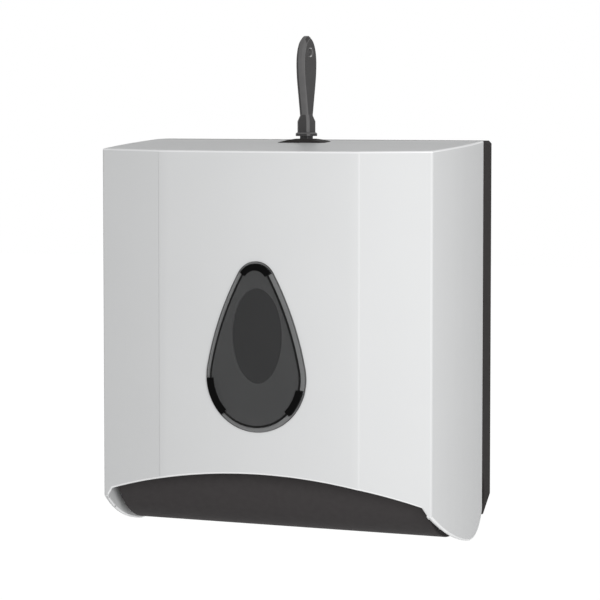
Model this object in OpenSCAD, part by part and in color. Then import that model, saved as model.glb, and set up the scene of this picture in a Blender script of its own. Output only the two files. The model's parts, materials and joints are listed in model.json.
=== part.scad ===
// Wall dispenser for interfolded paper: hinged cover, back plate, outlet tray and key lock.
// Origin: centre of the four wall screws, on the wall. +X is right, -Y points into the room, +Z is up.

/* [Cabinet] */
// Width across the rear edge of the cover
body_w = 265; // [250:1:290]
// Depth from the wall to the middle of the front panel
body_d = 118; // [110:1:130]
// Height of the rear top edge above the centre of the wall screws
top_z = 141; // [132:1:160]
// Angle at which the top falls towards the front, in degrees
top_fall = 3.74; // [1:0.01:6]
// Wall thickness of the cover
cover_wall = 3; // [2:0.1:4]
// Gap between parts that move past each other
run_gap = 0.3; // [0.2:0.05:0.6]
// Slack of a part that is screwed or pressed into its seat
seat_fit = 0.05; // [0.02:0.01:0.15]

/* [Front and sides] */
// How far the side creases stand behind the middle of the front
front_drop = 11.8; // [6:0.1:18]
// How far each side closes in from its rear edge to the crease
side_taper = 2.6; // [0:0.1:5]
// How far each side bows out between its edges
side_bulge = 3; // [0:0.1:5]
// Width of the middle panel
panel_w = 155.5; // [120:0.5:190]
// Height of the middle panel's crown
panel_crown = 1.6; // [0.4:0.1:4]
// How far the middle panel stands proud of the side facets
panel_step = 0.8; // [0.2:0.1:2]
// Width of the bevel at each side of the middle panel
panel_bevel = 1.4; // [0.5:0.1:4]
// Depth of the arch's ends below the wall screws' centre
arch_drop = 113.6; // [108:0.1:118]
// Rise of the arch at the middle of the front
arch_rise = 18; // [8:0.5:24]
// Width of the front between each end of the arch and the crease
arch_margin = 7; // [5:0.5:10]
// How far the arch's opening flares down from its ends to the cheeks
flare_h = 5.2; // [3:0.1:8]
// How far the front reaches in past the cheeks' walls at the foot of the flare
flare_lap = 0.4; // [0.3:0.1:1.5]

/* [Hinge and cheeks] */
// Distance of the hinge axis from the wall
hinge_d = 43; // [40:0.5:48]
// Depth of the hinge axis below the wall screws' centre
hinge_drop = 115; // [111:0.5:119]
// Radius of the rounded tip of each cheek
tip_r = 29.5; // [27:0.5:33]
// Room that the back plate's rim leaves around the tips of the cheeks
tip_room = 2; // [1.5:0.1:4]
// Radius of the curve from the cheek's tip up to the front
chin_r = 130; // [100:1:180]
// Radius of the hinge pins
pin_r = 3; // [2:0.1:4]
// Radius of the head of a hinge pin
pin_head_r = 5; // [4.5:0.1:7]
// Radial running clearance of the hinge pins
pin_clear = 0.05; // [0.02:0.01:0.1]
// Wall around the hinge bores
hinge_boss_wall = 4; // [2.5:0.1:6]

/* [Back plate] */
// Depth of the rim around the back plate
rim_d = 15.3; // [12:0.1:18]
// Thickness of the back plate
plate_t = 4; // [3.5:0.1:6]
// Thickness of the rim
rim_t = 3; // [2:0.1:4]
// Depth of the plate's lower edge below the wall screws' centre
plate_drop = 115.5; // [112:0.5:120]
// How far the rim's sides reach below the hinge axis
rim_tail = 14.5; // [6:0.5:14.5]
// Size of the cut-off top corners
corner_cut = 2; // [1:0.5:8]
// Distance between the wall screws across
screw_w = 180; // [140:1:190]
// Distance between the wall screws up and down
screw_h = 130; // [110:1:135]
// Radius of the wall screws' holes
screw_hole_r = 2.75; // [2:0.05:3.5]
// Radius of the raised ring around each wall screw
screw_ring_r = 9; // [7:0.5:11]
// Height of the raised ring around each wall screw
screw_ring_h = 2; // [1:0.1:4]

/* [Outlet tray] */
// Wall thickness of the tray
tray_wall = 2.6; // [2:0.1:4]
// Radius of the tray's rounded lower front
tray_chin_r = 48; // [38:1:56]
// Gap between the tray and the inside of the cover
tray_gap = 2; // [0.5:0.1:3]
// Depth of the tray's floor below the wall screws' centre
floor_drop = 140.8; // [137:0.1:143]
// Height of the tray's upper edge above the arch's crown
tray_lap = 15; // [8:0.5:20]
// Distance of the outer tray screws from the tray's ends
tray_screw_in = 18; // [10:1:30]
// Height of the bosses inside the tray's ends that hold the hinge pins
ear_boss = 3; // [1:0.1:5]
// Length of the paper slot
slot_w = 190; // [150:1:210]
// Width of the paper slot
slot_d = 26; // [20:0.5:30]
// Height of the lip around the paper slot
slot_lip_h = 3; // [1:0.1:5]

/* [Paper guides] */
// Room between the back plate's rim and the foot of a paper guide
guide_room = 6.5; // [1:0.5:15]
// Thickness of the paper guides
guide_t = 2; // [1.5:0.1:3]
// How far the paper guides reach out from the back plate
guide_reach = 88; // [60:1:92]
// Height of the paper guides' upper end above the wall screws' centre
guide_top = 80; // [60:1:85]
// Depth of the paper guides' lower end below the wall screws' centre
guide_drop = 70; // [50:1:75]
// Width of the foot of a paper guide
guide_foot = 13; // [12:0.5:14]
// Size of the cut-off front corners of a paper guide
guide_cut = 18; // [5:1:30]

/* [Window] */
// Radius of the window's round lower end
window_r = 39; // [32:0.5:44]
// Radius of the window's narrow upper end
window_top_r = 15.5; // [10:0.5:20]
// Distance between the centres of the window's two ends
window_span = 67; // [55:0.5:85]
// Radius of the window's bowed sides
window_side_r = 220; // [160:5:500]
// Depth of the centre of the window's lower end below the wall screws' centre
window_drop = 26.3; // [15:0.1:40]
// How far the window stands proud of the front
window_proud = 1.8; // [1.5:0.1:4]
// Height of the window's upright edge above the front
window_edge = 1; // [0.4:0.1:1.2]
// Depth of the pocket that the window lies in
window_pocket = 1; // [0.5:0.1:1.5]
// Width of the window's bevelled rim
window_rim = 4.8; // [3.5:0.1:7]
// Half width of the sight hole behind the window
sight_w = 19.7; // [12:0.1:24]
// Half height of the sight hole behind the window
sight_h = 34; // [20:0.5:40]
// Height of the sight hole's centre above the window's lower end
sight_up = 29.5; // [20:0.5:35]
// Slack between the window and its pocket
window_slack = 0.15; // [0.1:0.05:0.4]
// Thickness of a curved snap tab of the window
tab_t = 1.8; // [1.2:0.1:2.2]
// Overhang of the barb on a snap tab
tab_barb = 0.9; // [0.5:0.1:1.2]
// Height of the barb on a snap tab
tab_barb_h = 1.6; // [0.8:0.1:2.5]

/* [Lock] */
// Distance of the lock's axis from the wall
lock_d = 33; // [31:0.5:36]
// Radius of the lock's domed bezel
bezel_r = 19; // [15:0.5:22]
// How far the bezel laps over the barrel, front and rear
bezel_lap = 1.5; // [1:0.1:3]
// Height of the bezel's dome above the top
bezel_h = 2.6; // [1.5:0.1:4]
// Radius of the lock's barrel
barrel_r = 9.5; // [8.5:0.1:10.5]
// Length of the barrel below the top
barrel_len = 26.8; // [24:0.1:32]
// Thickness of the cover at the lock's seat
lock_seat_t = 6.8; // [5:0.1:9]
// How far the lock's seat reaches out past the nut's flats
lock_seat_lap = 2; // [1:0.1:4]
// Thickness of the washer above the lock nut
nut_washer_t = 1; // [0.6:0.1:1.5]
// Width across the flats of the lock nut
nut_af = 25; // [22:0.5:28]
// Thickness of the lock nut
nut_t = 5; // [3:0.1:7]
// Radius of the lock plug
plug_r = 6; // [5.8:0.05:6.6]
// Radius of the lock plug's head
plug_head_r = 7.5; // [7:0.05:7.9]
// Thickness of the lock plug's head
plug_head_t = 2.2; // [1.5:0.1:3]
// How far the rim of the plug's head lies below the bezel's dome
plug_sink = 0.1; // [0:0.05:0.5]
// Radial running clearance of the lock plug
plug_clear = 0.05; // [0.02:0.01:0.1]
// Width of the square end of the plug that drives the cam
drive_w = 6; // [5:0.1:7]
// Length of the screw that holds the cam
cam_screw_len = 10; // [6:0.5:11]
// Thickness of the cam washer
washer_t = 1; // [0.6:0.1:1.5]
// How far the cam's hub reaches out past the plug
cam_hub_lap = 2.5; // [1.5:0.1:3]
// Thickness of the cam
cam_t = 2.5; // [2:0.1:3.5]
// Width of the cam's arm
cam_w = 9; // [7:0.1:11]
// Distance from the lock's axis to the outside of the cam's hook
cam_reach = 18.2; // [17:0.1:20]
// Thickness of the cam's hook
hook_t = 2.3; // [1.8:0.1:3]
// Depth of the cam's hook below the arm
hook_h = 6; // [4:0.1:8]
// Gap between the cam and the keeper when the lock is shut
latch_gap = 0.8; // [0.5:0.1:1.2]
// Width of the keeper's lip
lip_w = 12; // [8:0.1:13]
// Thickness of the keeper's lip
lip_t = 2.2; // [1.5:0.1:2.6]
// Thickness of the keeper's foot and shelf
keeper_t = 3; // [2:0.1:4]
// Depth of the gusset below the keeper's shelf
gusset_h = 12; // [5:0.5:12]
// Margin between the keeper's screw heads and the ends of its foot
keeper_edge = 1; // [0.5:0.1:2]
// Width of the keeper's foot
keeper_w = 34; // [30:0.5:44]
// Height of the keeper's foot
keeper_h = 28; // [24:0.5:36]

/* [Key] */
// Width of the key's square shank
key_w = 7; // [6:0.1:7.6]
// Clearance of the shank in its socket, on each side
key_clear = 0.1; // [0.05:0.01:0.2]
// Depth to which the shank enters the lock
key_depth = 13; // [8:0.1:16]
// Height of the bare shank between the lock and the flange
key_neck = 2; // [0.5:0.1:6]
// Width of the key's flange
flange_w = 12.7; // [12.5:0.1:15]
// Thickness of the key's flange
flange_t = 2.7; // [1.5:0.1:4]
// Bevel on the upper edges of the flange
flange_cut = 0.8; // [0.3:0.1:0.8]
// Width of the key's square collar
collar_w = 10.8; // [8.5:0.1:11]
// Height of the key's collar
collar_h = 8; // [6:0.1:14]
// Bevel on the edges of the collar
collar_cut = 1.6; // [0.5:0.1:2.5]
// Height of the sloping shoulder on top of the collar
shoulder_h = 5; // [1:0.1:6]
// Length of the key's grip above the collar
grip_h = 62.3; // [40:0.1:80]
// Thickness of the key's grip
grip_t = 7.4; // [6:0.1:9]
// Breadth of the grip where it is widest
grip_w = 17; // [11:0.1:24]
// Breadth of the grip at the collar
grip_foot_w = 5.4; // [4:0.1:9]
// Breadth of the grip's flat tip
grip_tip_w = 1.6; // [1:0.1:6]
// Width of the bevels along the grip's edges, across its thickness
grip_edge = 2.2; // [1:0.1:2.6]
// Depth of the bevels along the grip's edges, across its breadth
grip_cut = 0.7; // [0.3:0.1:1.8]
// Length over which the grip thins towards its tip
grip_taper = 2; // [1:0.5:8]
// Radius of the hole for a key ring
ring_hole_r = 2.75; // [1.5:0.05:3.5]
// Distance of the key ring hole's centre below the tip
ring_hole_down = 12; // [9:0.1:20]
// Angle at which the key stands in the lock, in degrees
key_turn = -9; // [-20:1:20]

/* [Screws] */
// Radius of the screws that hold the inner parts
screw_r = 1.75; // [1.2:0.05:2]
// Radius of the screws' heads
head_r = 3.5; // [2.8:0.1:4.5]
// Height of the screws' heads
head_h = 2.2; // [1.2:0.1:3]
// How deep the screws go into the back plate
screw_bite = 2.8; // [1.5:0.1:3]

/* [Hidden] */
$fn = 96;

// Colours of the finishes
shell_white = [0.84, 0.85, 0.86];
charcoal = [0.23, 0.23, 0.23];
smoke = [0.2, 0.2, 0.21, 0.6];
key_grey = [0.33, 0.33, 0.33];
steel = [0.7, 0.71, 0.73];

// Oversize for cuts that run out of a part, and the reach of cuts that cross the whole part
over = 1;
far = 2 * (body_w + top_z);

// Cabinet lines
half_w = body_w / 2;
cover_rear_y = -rim_d - run_gap;
crease_x = half_w - side_taper;
crease_y = front_drop - body_d;
panel_half = panel_w / 2;
arch_half = crease_x - arch_margin;
arch_end_z = -arch_drop;
arch_top_z = arch_rise - arch_drop;
arch_r = (arch_half * arch_half + arch_rise * arch_rise) / (2 * arch_rise);
arch_steps = 48;
front_steps = 10;
side_steps = 8;

// Cheek lines: the chin arc touches the tip circle and ends at the front, below the arch's flare
hinge = [-hinge_d, -hinge_drop];
flare_x = crease_x - cover_wall - flare_lap;
chin_end = [front_y(arch_half, panel_step) - run_gap, arch_end_z - flare_h];
chin_dir = (chin_end - hinge) / norm(chin_end - hinge);
chin_off = chin_r - tip_r;
chin_len = norm(chin_end - hinge);
chin_along = (chin_off * chin_off + chin_len * chin_len - chin_r * chin_r) / (2 * chin_len);
chin_across = sqrt(chin_off * chin_off - chin_along * chin_along);
chin = hinge + chin_along * chin_dir + chin_across * [chin_dir[1], -chin_dir[0]];
chin_touch = atan2(hinge[1] - chin[1], hinge[0] - chin[0]);
chin_steps = 24;
tip_steps = 16;
boss_r = pin_r + pin_clear + hinge_boss_wall;
pin_end_x = side_x(hinge[0]) - cover_wall;

// Back plate and tray lines
plate_front_y = -plate_t;
plate_low_z = -plate_drop;
rim_low_z = hinge[1] - rim_tail;
tray_half = arch_half - run_gap;
tray_front_y = front_y(tray_half, panel_step) + cover_wall + tray_gap;
tray_top_z = arch_top_z + tray_lap;
floor_z = -floor_drop;
tray_chin = [tray_front_y + tray_chin_r, floor_z + tray_chin_r];
slot_y = hinge[0];
tray_screw_far = tray_half - tray_screw_in;
tray_screw_x = [-tray_screw_far, -tray_screw_far / 3, tray_screw_far / 3, tray_screw_far];
tray_screw_z = (tray_top_z + plate_low_z) / 2;

// Paper guide lines
guide_x = half_w - rim_t - guide_room - guide_foot - guide_t;
guide_screw_x = guide_x + guide_t + guide_foot / 2;
guide_screw_z = [guide_top - guide_foot, guide_foot - guide_drop];

// Window lines
window_seat_y = window_pocket - body_d;
window_face_y = -body_d - window_proud;
window_z = -window_drop;
bow_low = window_side_r - window_r;
bow_high = window_side_r - window_top_r;
bow_z = (window_span * window_span - bow_high * bow_high + bow_low * bow_low) / (2 * window_span);
bow_x = sqrt(bow_low * bow_low - bow_z * bow_z);
bow_start = atan2(-bow_z, bow_x);
bow_end = atan2(window_span - bow_z, bow_x);
window_steps = 20;
// Snap tabs: height of the arc's centre, radius of the rim there, middle angle and half angle
tabs = [
    [window_span, window_top_r, 90, 58],
    [0, window_r, -29, 16],
    [0, window_r, 204, 22]
];

// Lock lines
lock_y = -lock_d;
lock_top_z = top_at(lock_y);
dome_z = lock_top_z + bezel_h;
dome_r = (bezel_r * bezel_r + bezel_h * bezel_h) / (2 * bezel_h);
plug_top_z = dome_z - plug_head_r * plug_head_r / (2 * dome_r) - plug_sink;
lock_seat_z = lock_top_z - lock_seat_t;
nut_top_z = lock_seat_z - nut_washer_t;
barrel_low_z = lock_top_z - barrel_len;
plug_low_z = barrel_low_z - run_gap;
cam_top_z = plug_low_z - washer_t;
cam_low_z = cam_top_z - cam_t;
cam_hub_r = plug_r + cam_hub_lap;
hook_low_z = cam_low_z - hook_h;
lip_far = cam_reach - hook_t - latch_gap;
lip_back_y = lock_y + sqrt(lip_far * lip_far - lip_w * lip_w / 4);
lip_top_z = cam_low_z - latch_gap;
shelf_z = hook_low_z - latch_gap;
keeper_z = shelf_z - keeper_t / 2;
keeper_front_y = plate_front_y - keeper_t;
keeper_screw_x = keeper_w / 2 - head_r - keeper_edge;

// Key lines
key_low_z = plug_top_z - key_depth;
flange_z = plug_top_z + key_neck;
collar_z = flange_z + flange_t;
grip_z = collar_z + collar_h;
tip_z = grip_z + grip_h;
// Share of the grip's height at which it is widest, and the swell up to there
grip_wide = 0.7;
grip_swell = 1.4;
// Steps of the grip's outline below its widest place, and as many above
grip_steps = 12;
// Least half breadth of the grip's bevelled faces, and how deep it is rooted in the collar
grip_least = 0.2;
grip_root = collar_h / 4;

// Height of the top's outer face at a distance y from the wall
function top_at(y) = top_z + (y + rim_d) * tan(top_fall);

// Outer face of the front at x, with the middle panel proud of the facets by step
function front_y(x, step) =
    let (a = abs(x))
    let (facet_x = panel_half + (step > 0 ? panel_bevel : 0))
    let (facet_y = panel_crown + step - body_d)
    a <= panel_half ? panel_crown * a * a / (panel_half * panel_half) - body_d
    : facet_y + (crease_y - facet_y) * (a - facet_x) / (crease_x - facet_x);

// Outer face of the right side at y
function side_x(y) =
    let (t = (y - cover_rear_y) / (crease_y - cover_rear_y))
    half_w - side_taper * t + 4 * side_bulge * t * (1 - t);

// Places along the front where its outline has a point
function front_stations(inset, step) = concat(
    [inset - crease_x],
    step > 0 ? [-panel_half - panel_bevel] : [],
    [for (i = [-front_steps:front_steps]) panel_half * i / front_steps],
    step > 0 ? [panel_half + panel_bevel] : [],
    [crease_x - inset]
);

// Points of the right side from the crease to the rear
function side_points(inset, rear) = [
    for (i = [1:side_steps])
        let (y = crease_y + inset + (rear - crease_y - inset) * i / side_steps)
        [side_x(y) - inset, y]
];

// Outline of the cabinet seen from above, drawn in by inset
function plan(inset, step = 0, rear = cover_rear_y) =
    let (right = side_points(inset, rear))
    concat(
        [for (x = front_stations(inset, step)) [x, front_y(x, step) + inset]],
        right,
        [for (i = [side_steps - 1:-1:0]) [-right[i][0], right[i][1]]]
    );

// Points on an arc, from step first on, so that arcs can be joined end to end
function arc(centre, r, from, to, steps, first = 0) = [
    for (i = [first:steps]) let (a = from + (to - from) * i / steps) centre + r * [cos(a), sin(a)]
];

// Right half of the window's outline, from its foot to its top, about the lower end's centre
function window_half(inset) = concat(
    arc([0, 0], window_r - inset, -90, bow_start, window_steps),
    arc([-bow_x, bow_z], window_side_r - inset, bow_start, bow_end, window_steps / 2, 1),
    arc([0, window_span], window_top_r - inset, bow_end, 90, window_steps / 2, 1)
);

// Whole outline from a right half that starts and ends on the middle line
function mirrored(points) = concat(
    points,
    [for (i = [len(points) - 2:-1:1]) [-points[i][0], points[i][1]]]
);

// Half breadth and height of a grip of height h at step i, swelling to its widest place, then round to the tip
function grip_point(i, h) =
    let (a = 90 * (i / grip_steps - 1))
    a < 0
    ? [
        grip_foot_w / 2 + (grip_w - grip_foot_w) / 2 * pow(cos(a), grip_swell),
        h * grip_wide * i / grip_steps
    ]
    : [max(grip_w * cos(a), grip_tip_w) / 2, h * (grip_wide + (1 - grip_wide) * sin(a))];

// Extrudes a (y, z) outline along X, centred
module along_x(length) {
    rotate([90, 0, 90])
        linear_extrude(length, center = true)
            children();
}

// Extrudes an (x, z) outline along Y between two depths
module along_y(from, to) {
    translate([0, to, 0])
        rotate([90, 0, 0])
            linear_extrude(to - from)
                children();
}

module both_sides() {
    children();
    mirror([1, 0, 0])
        children();
}

// Column with the cabinet's plan, drawn in by inset
module plan_column(inset, step = 0, rear = cover_rear_y) {
    translate([0, 0, -far / 2])
        linear_extrude(far)
            polygon(plan(inset, step, rear));
}

// Everything below the top's outer face, lowered by drop, out to the rear limit
module below_top(drop, rear, low) {
    polygon([[rear, low], [rear, top_at(rear) - drop], [-far, top_at(-far) - drop], [-far, low]]);
}

// Outline of the cheeks below the arch's ends, as a (y, z) outline
module cheek_curve() {
    start = -180 - asin((chin_end[1] - chin[1]) / chin_r);
    rear = -acos(min(1, (cover_rear_y - hinge[0]) / tip_r));
    tip = arc(hinge, tip_r, chin_touch, rear, tip_steps, 1);
    polygon(concat(
        [[chin_end[0], arch_end_z]],
        arc(chin, chin_r, start, chin_touch, chin_steps),
        tip,
        [[tip[tip_steps - 1][0], arch_end_z]]
    ));
}

// Space under the arch and between the cheeks, as an (x, z) outline
module arch_space() {
    end = asin((arch_r - arch_rise) / arch_r);
    polygon(concat(
        [[-flare_x, chin_end[1]], [-flare_x, -far], [flare_x, -far], [flare_x, chin_end[1]]],
        arc([0, arch_top_z - arch_r], arch_r, end, 180 - end, arch_steps)
    ));
}

module window_outline(inset) {
    translate([0, window_z])
        polygon(mirrored(window_half(inset)));
}

module sight_outline() {
    translate([0, window_z + sight_up])
        polygon([for (a = [0:7.5:359]) [sight_w * cos(a), sight_h * sin(a)]]);
}

// Part of a ring that follows the window's rim at a snap tab, as an (x, z) outline
module tab_band(tab, inner, outer, slack) {
    half = tab[3] + atan(slack / tab[1]);
    translate([0, window_z + tab[0]])
        intersection() {
            difference() {
                circle(tab[1] - window_rim + outer);
                circle(tab[1] - window_rim + inner);
            }
            polygon(concat([[0, 0]], arc([0, 0], 2 * window_r, tab[2] - half, tab[2] + half, 4)));
        }
}

// Snap tabs behind the window: each has a leg and a barb that catches behind the cover's wall
module snap_tabs() {
    barb_y = window_seat_y + cover_wall - window_pocket + run_gap;
    for (tab = tabs) {
        along_y(window_seat_y - window_pocket / 2, barb_y + tab_barb_h)
            tab_band(tab, run_gap, run_gap + tab_t, 0);
        along_y(barb_y, barb_y + tab_barb_h)
            tab_band(tab, run_gap + tab_t / 2, run_gap + tab_t + tab_barb, 0);
    }
}

// Openings for the snap tabs, wide enough for the barbs to pass
module tab_slots() {
    for (tab = tabs)
        along_y(window_seat_y - over, window_seat_y + 2 * cover_wall)
            tab_band(tab, 0, tab_t + tab_barb + 2 * run_gap, run_gap);
}

// Screw that points at the wall, with its head seated at depth seat
module screw_to_wall(x, seat, z, length) {
    translate([x, seat, z])
        rotate([-90, 0, 0]) {
            translate([0, 0, -head_h])
                cylinder(h = head_h, r = head_r);
            cylinder(h = length, r = screw_r);
        }
}

// Hole for such a screw, from depth from to depth to
module screw_hole(x, z, from, to) {
    translate([x, from, z])
        rotate([-90, 0, 0])
            cylinder(h = to - from, r = screw_r + seat_fit);
}

module pilot(x, z) {
    screw_hole(x, z, plate_front_y - over, plate_front_y + screw_bite + seat_fit);
}

module plate_outline(inset, low) {
    side = half_w - inset;
    top = top_z - inset;
    polygon([
        [-side, low], [side, low],
        [side, top - corner_cut], [side - corner_cut, top],
        [corner_cut - side, top], [-side, top - corner_cut]
    ]);
}

// Bevel line of the lower rear corner, drawn in by inset, as a (y, z) outline above it
module above_bevel(inset) {
    low = plate_low_z + inset * sqrt(2);
    polygon([[0, low], [0, far], [-far, far], [-far, low - far]]);
}

module at_wall_screws() {
    for (x = [-screw_w / 2, screw_w / 2])
        for (z = [-screw_h / 2, screw_h / 2])
            translate([x, 0, z])
                rotate([90, 0, 0])
                    children();
}

module back_plate() {
    color(charcoal)
        difference() {
            union() {
                intersection() {
                    difference() {
                        along_y(-rim_d, 0)
                            plate_outline(0, rim_low_z);
                        along_y(-rim_d - over, plate_front_y)
                            plate_outline(rim_t, rim_low_z - over);
                    }
                    along_x(far)
                        above_bevel(0);
                }
                at_wall_screws()
                    cylinder(h = plate_t + screw_ring_h, r = screw_ring_r);
            }
            at_wall_screws()
                translate([0, 0, -over])
                    cylinder(h = plate_t + screw_ring_h + 2 * over, r = screw_hole_r);
            translate([0, hinge[0], hinge[1]])
                rotate([0, 90, 0])
                    cylinder(h = far, r = tip_r + tip_room, center = true);
            for (x = tray_screw_x)
                pilot(x, tray_screw_z);
            for (x = [-guide_screw_x, guide_screw_x])
                for (z = guide_screw_z)
                    pilot(x, z);
            for (x = [-keeper_screw_x, keeper_screw_x])
                pilot(x, keeper_z);
        }
}

// Outer form of the tray, drawn in by inset
module tray_form(inset, top) {
    rear = plate_front_y - inset;
    along_x(2 * (tray_half - inset))
        intersection() {
            polygon(concat(
                [[rear, floor_z + inset], [rear, top], [tray_front_y + inset, top]],
                arc(tray_chin, tray_chin_r - inset, 180, 270, chin_steps)
            ));
            above_bevel(inset);
        }
}

module slot_outline(grow) {
    for (x = [-1, 1])
        translate([x * (slot_w - slot_d) / 2, slot_y])
            circle(slot_d / 2 + grow);
    translate([-(slot_w - slot_d) / 2, slot_y - slot_d / 2 - grow])
        square([slot_w - slot_d, slot_d + 2 * grow]);
}

module outlet_tray() {
    color(charcoal)
        difference() {
            union() {
                difference() {
                    tray_form(0, tray_top_z);
                    tray_form(tray_wall, tray_top_z + over);
                }
                translate([0, 0, floor_z])
                    linear_extrude(tray_wall + slot_lip_h)
                        slot_outline(tray_wall);
                both_sides()
                    translate([tray_half - tray_wall - ear_boss, hinge[0], hinge[1]])
                        rotate([0, 90, 0])
                            cylinder(h = ear_boss + tray_wall / 2, r = boss_r);
            }
            translate([0, 0, floor_z - over])
                linear_extrude(tray_wall + slot_lip_h + 2 * over)
                    slot_outline(0);
            translate([0, hinge[0], hinge[1]])
                rotate([0, 90, 0])
                    cylinder(h = far, r = pin_r + seat_fit, center = true);
            for (x = tray_screw_x)
                screw_hole(x, tray_screw_z, plate_front_y - tray_wall - over, plate_front_y + over);
        }
}

module tray_screws() {
    color(steel)
        for (x = tray_screw_x)
            screw_to_wall(x, plate_front_y - tray_wall, tray_screw_z, tray_wall + screw_bite);
}

module hinge_pin_right() {
    head_x = tray_half - tray_wall - ear_boss;
    color(steel)
        translate([head_x, hinge[0], hinge[1]])
            rotate([0, 90, 0]) {
                translate([0, 0, -pin_head_r / 2])
                    cylinder(h = pin_head_r / 2, r = pin_head_r);
                cylinder(h = pin_end_x - head_x - run_gap, r = pin_r);
            }
}

module hinge_pin_left() {
    mirror([1, 0, 0])
        hinge_pin_right();
}

module paper_guide_right() {
    height = guide_top + guide_drop;
    color(charcoal)
        difference() {
            union() {
                translate([guide_x + guide_t / 2, 0, 0])
                    along_x(guide_t)
                        polygon([
                            [plate_front_y, -guide_drop], [plate_front_y, guide_top],
                            [guide_cut - guide_reach, guide_top], [-guide_reach, guide_top - guide_cut],
                            [-guide_reach, guide_cut - guide_drop], [guide_cut - guide_reach, -guide_drop]
                        ]);
                translate([guide_x, plate_front_y - guide_t, -guide_drop])
                    cube([guide_t + guide_foot, guide_t, height]);
            }
            for (z = guide_screw_z)
                screw_hole(guide_screw_x, z, plate_front_y - guide_t - over, plate_front_y + over);
        }
}

module paper_guide_left() {
    mirror([1, 0, 0])
        paper_guide_right();
}

module guide_screws() {
    color(steel)
        for (x = [-guide_screw_x, guide_screw_x])
            for (z = guide_screw_z)
                screw_to_wall(x, plate_front_y - guide_t, z, guide_t + screw_bite);
}

module latch_keeper() {
    color(steel)
        difference() {
            union() {
                translate([-keeper_w / 2, keeper_front_y, keeper_z - keeper_h / 2])
                    cube([keeper_w, keeper_t, keeper_h]);
                along_x(lip_w)
                    polygon([
                        [keeper_front_y, shelf_z - gusset_h], [keeper_front_y, shelf_z],
                        [lip_back_y, shelf_z], [lip_back_y, lip_top_z], [lip_back_y - lip_t, lip_top_z],
                        [lip_back_y - lip_t, shelf_z - keeper_t]
                    ]);
            }
            for (x = [-keeper_screw_x, keeper_screw_x])
                screw_hole(x, keeper_z, keeper_front_y - over, plate_front_y + over);
        }
}

module keeper_screws() {
    color(steel)
        for (x = [-keeper_screw_x, keeper_screw_x])
            screw_to_wall(x, keeper_front_y, keeper_z, keeper_t + screw_bite);
}

// Walls of the cover: front, sides and top, open at the rear and below
module cover_walls() {
    difference() {
        intersection() {
            plan_column(0, panel_step);
            along_x(far) {
                below_top(0, cover_rear_y, arch_end_z);
                cheek_curve();
            }
        }
        intersection() {
            plan_column(cover_wall, panel_step, over);
            along_x(far)
                below_top(cover_wall, over, -far);
        }
        along_y(-far, hinge[0])
            arch_space();
    }
}

module cover_hinge_bosses() {
    both_sides()
        translate([arch_half, hinge[0], hinge[1]])
            rotate([0, 90, 0])
                cylinder(h = pin_end_x + cover_wall / 2 - arch_half, r = boss_r);
}

module lock_seat() {
    intersection() {
        translate([0, lock_y, lock_seat_z])
            cylinder(h = far, r = nut_af / 2 + lock_seat_lap);
        along_x(far)
            below_top(cover_wall / 2, cover_rear_y, arch_end_z);
    }
}

module front_cover() {
    color(shell_white)
        difference() {
            union() {
                cover_walls();
                cover_hinge_bosses();
                lock_seat();
            }
            along_y(-far, window_seat_y)
                window_outline(-window_slack);
            along_y(-far, window_seat_y + 2 * cover_wall)
                sight_outline();
            tab_slots();
            translate([0, lock_y, lock_seat_z - over])
                cylinder(h = far, r = barrel_r + seat_fit);
            both_sides()
                translate([arch_half - over, hinge[0], hinge[1]])
                    rotate([0, 90, 0])
                        cylinder(h = pin_end_x - arch_half + over, r = pin_r + pin_clear);
        }
}

module level_window() {
    color(smoke) {
        hull() {
            along_y(window_seat_y - window_pocket - window_edge, window_seat_y)
                window_outline(0);
            along_y(window_face_y, window_seat_y)
                window_outline(window_rim);
        }
        snap_tabs();
    }
}

// Ball whose crown is the bezel's dome
module bezel_dome() {
    translate([0, lock_y, dome_z - dome_r])
        sphere(dome_r, $fn = 180);
}

module lock_housing() {
    color(charcoal)
        difference() {
            union() {
                intersection() {
                    bezel_dome();
                    translate([-bezel_r, lock_y - barrel_r - bezel_lap, lock_seat_z])
                        cube([2 * bezel_r, 2 * (barrel_r + bezel_lap), far]);
                    along_x(far)
                        polygon([[0, far], [0, top_at(0)], [-far, top_at(-far)], [-far, far]]);
                }
                intersection() {
                    bezel_dome();
                    translate([0, lock_y, barrel_low_z])
                        cylinder(h = far, r = barrel_r);
                }
            }
            translate([0, lock_y, barrel_low_z - over])
                cylinder(h = far, r = plug_r + plug_clear);
            translate([0, lock_y, plug_top_z - plug_head_t - plug_clear])
                cylinder(h = far, r = plug_head_r + plug_clear);
        }
}

module nut_washer() {
    color(steel)
        translate([0, lock_y, nut_top_z])
            linear_extrude(nut_washer_t)
                difference() {
                    circle(nut_af / 2);
                    circle(barrel_r + seat_fit);
                }
}

module lock_nut() {
    color(steel)
        translate([0, lock_y, nut_top_z - nut_t])
            difference() {
                cylinder(h = nut_t, r = nut_af / sqrt(3), $fn = 6);
                translate([0, 0, -over])
                    cylinder(h = nut_t + 2 * over, r = barrel_r + seat_fit);
            }
}

module centred_square(w) {
    square([w, w], center = true);
}

module lock_plug() {
    color(charcoal)
        translate([0, lock_y, 0])
            difference() {
                union() {
                    translate([0, 0, plug_low_z])
                        cylinder(h = plug_top_z - plug_low_z, r = plug_r);
                    translate([0, 0, plug_top_z - plug_head_t])
                        cylinder(h = plug_head_t, r = plug_head_r);
                    translate([0, 0, cam_low_z + run_gap])
                        linear_extrude(plug_low_z - cam_low_z)
                            centred_square(drive_w);
                }
                translate([0, 0, key_low_z - key_clear])
                    linear_extrude(far)
                        rotate(key_turn)
                            centred_square(key_w + 2 * key_clear);
                translate([0, 0, cam_low_z])
                    cylinder(h = cam_screw_len + seat_fit, r = screw_r + seat_fit);
            }
}

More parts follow.
